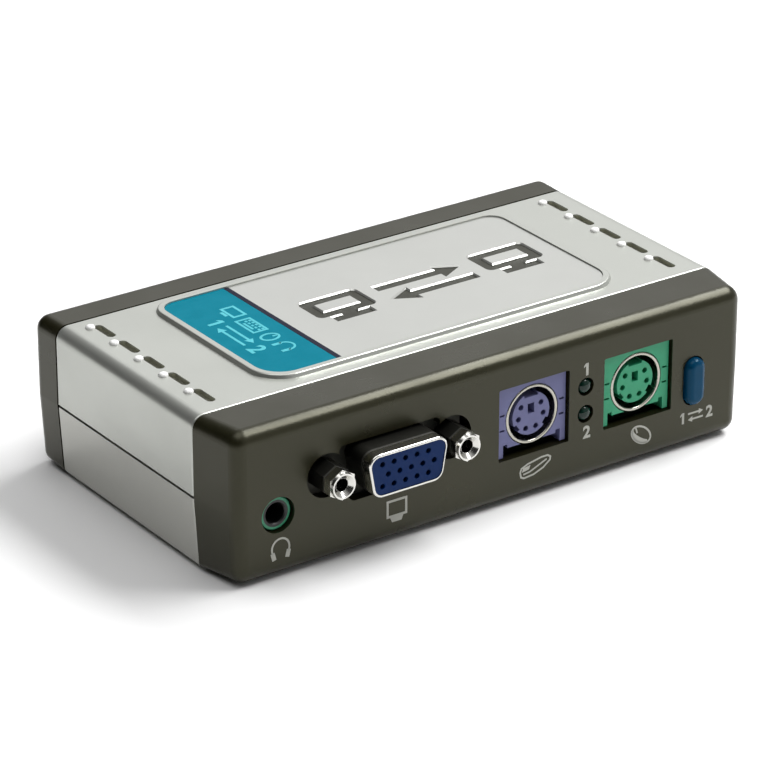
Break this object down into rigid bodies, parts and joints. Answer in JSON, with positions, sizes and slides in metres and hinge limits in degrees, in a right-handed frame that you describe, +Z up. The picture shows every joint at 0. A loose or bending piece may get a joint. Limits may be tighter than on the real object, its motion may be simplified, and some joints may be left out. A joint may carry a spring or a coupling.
{
  "type": "kvm switch",
  "caption": "Small desktop KVM switch box: silver covers, dark end bezels, monitor, keyboard, mouse and audio sockets, port lamps and a select button.",
  "frame": {"origin": "under the middle of the case, on the surface that the rubber feet stand on", "axes": "+X along the width, to the right as seen from the console side; +Y from the console side to the computer side; +Z up"},
  "size_m": [0.108, 0.0708, 0.0287],
  "materials": {
    "silver_cover": "fine satin silver paint",
    "silver_cover_lower": "fine satin silver paint",
    "silver_panel": "fine satin",
    "bezel_plastic": "fine moulded texture",
    "emblem_dark": "printed overlay, satin",
    "teal_label": "printed overlay, satin",
    "divider_navy": "satin",
    "foot_rubber": "matte",
    "screw_steel": "zinc plated",
    "board_green": "solder mask, satin",
    "keyboard_purple": "moulded, satin",
    "mouse_green": "moulded, satin",
    "audio_green": "moulded, satin",
    "black_plastic": "moulded, satin",
    "lamp_lens": "clear tinted",
    "contact_gold": "gold flash",
    "button_blue": "translucent, polished",
    "plated_steel": "bright nickel plate",
    "jackscrew_steel": "bright nickel plate",
    "vga_blue": "moulded, satin",
    "chip_black": "epoxy, matte",
    "solder_tin": "tinned",
    "capacitor_sleeve": "sleeve, gloss"
  },
  "bodies": {
    "case": {"board_screws": "screw_steel", "bottom_cover": "silver_cover_lower", "buzzer": "black_plastic", "capacitors": "capacitor_sleeve", "chip_resistors": "chip_black", "computer_1_audio_body": "black_plastic", "computer_1_audio_contacts": "contact_gold", "computer_1_audio_ring": "audio_green", "computer_1_socket_body": "black_plastic", "computer_1_socket_contacts": "contact_gold", "computer_1_socket_insulator": "vga_blue", "computer_1_socket_jackscrews": "jackscrew_steel", "computer_1_socket_shell": "plated_steel", "computer_2_audio_body": "black_plastic", "computer_2_audio_contacts": "contact_gold", "computer_2_audio_ring": "audio_green", "computer_2_socket_body": "black_plastic", "computer_2_socket_contacts": "contact_gold", "computer_2_socket_insulator": "vga_blue", "computer_2_socket_jackscrews": "jackscrew_steel", "computer_2_socket_shell": "plated_steel", "controller_leads": "solder_tin", "cover_screws": "screw_steel", "crystal": "plated_steel", "emblem_inlay": "emblem_dark", "front_bezel": "bezel_plastic", "headphone_socket_body": "black_plastic", "headphone_socket_contacts": "contact_gold", "headphone_socket_ring": "audio_green", "keyboard_socket_body": "keyboard_purple", "keyboard_socket_contacts": "contact_gold", "keyboard_socket_shield": "plated_steel", "label_divider": "divider_navy", "label_panel": "silver_panel", "lamp_holder": "black_plastic", "lamp_leads": "contact_gold", "main_board": "board_green", "monitor_socket_body": "black_plastic", "monitor_socket_contacts": "contact_gold", "monitor_socket_insulator": "vga_blue", "monitor_socket_jackscrews": "jackscrew_steel", "monitor_socket_shell": "plated_steel", "mouse_socket_body": "mouse_green", "mouse_socket_contacts": "contact_gold", "mouse_socket_shield": "plated_steel", "port_lamp_1": "lamp_lens", "port_lamp_2": "lamp_lens", "rear_bezel": "bezel_plastic", "rubber_feet": "foot_rubber", "switch_body": "black_plastic", "switch_controller": "chip_black", "switch_frame": "plated_steel", "teal_label": "teal_label", "top_cover": "silver_cover", "video_chip_leads": "solder_tin", "video_switch_chips": "chip_black"},
    "button": {"select_button": "button_blue", "switch_plunger": "black_plastic"}
  },
  "joints": [
    {"name": "select_button_press", "type": "slide", "parent": "case", "child": "button", "axis": [0, 1, 0], "range_m": [0, 0.0005], "stiffness_N_per_m": 400}
  ]
}
